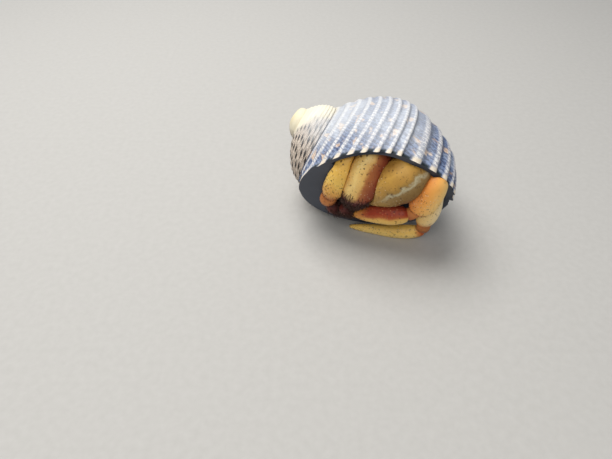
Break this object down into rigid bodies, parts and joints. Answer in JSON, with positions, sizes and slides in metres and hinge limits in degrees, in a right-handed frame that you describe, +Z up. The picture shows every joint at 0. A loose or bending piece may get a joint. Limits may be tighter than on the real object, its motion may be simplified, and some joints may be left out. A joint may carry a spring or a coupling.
{
  "type": "hermit crab",
  "caption": "Still land hermit crab half drawn into a ribbed, coiled sea snail shell, with its folded claws and walking legs closing the shell's mouth.",
  "frame": {"origin": "middle of the bounding box on the floor plane, under the shell", "axes": "+Z up; the shell's mouth and the animal's claws face -Y; the animal's left side and its large claw are towards +X; the spire points to -X and +Y"},
  "size_m": [0.0276, 0.0274, 0.0219],
  "materials": {
    "shell": "chalky ribbed snail shell, pale ribs over blue-grey bands",
    "claw": "semi-gloss olive-yellow granular horn",
    "yellow_leg": "semi-gloss yellow-orange horn",
    "red_toe": "semi-gloss red-brown horn with pale grains",
    "dark_finger": "dark purple-brown horn with bristles",
    "inner_leg": "thin orange-brown shell skin",
    "eye": "glossy black",
    "soft_skin": "soft moist pinkish-brown skin"
  },
  "bodies": {
    "root": {"shell": "shell", "right_cheliped_dactyl": "dark_finger", "left_leg_2_dactyl": "red_toe", "left_leg_3_dactyl": "yellow_leg", "right_leg_2_dactyl": "dark_finger", "left_cheliped_dactyl": "yellow_leg", "right_leg_3_dactyl": "dark_finger", "right_cheliped_palm": "claw", "left_cheliped_palm": "claw", "left_leg_2_propodus": "yellow_leg", "left_leg_3_propodus": "yellow_leg", "right_leg_2_propodus": "yellow_leg", "right_leg_3_propodus": "yellow_leg", "right_cheliped_carpus": "inner_leg", "left_leg_2_carpus": "inner_leg", "left_leg_3_carpus": "inner_leg", "right_leg_2_carpus": "inner_leg", "left_cheliped_carpus": "inner_leg", "right_leg_3_carpus": "inner_leg", "right_cheliped_merus": "inner_leg", "left_leg_2_merus": "inner_leg", "left_leg_3_merus": "inner_leg", "right_leg_2_merus": "inner_leg", "left_cheliped_merus": "inner_leg", "right_leg_3_merus": "inner_leg", "left_eye": "eye", "right_eye": "eye", "left_eyestalk": "inner_leg", "right_eyestalk": "inner_leg", "shield": "inner_leg", "thorax": "inner_leg", "left_antenna": "inner_leg", "right_antenna": "inner_leg", "left_maxilliped": "inner_leg", "right_maxilliped": "inner_leg", "abdomen_front": "soft_skin", "abdomen_rear": "soft_skin"}
  },
  "joints": []
}
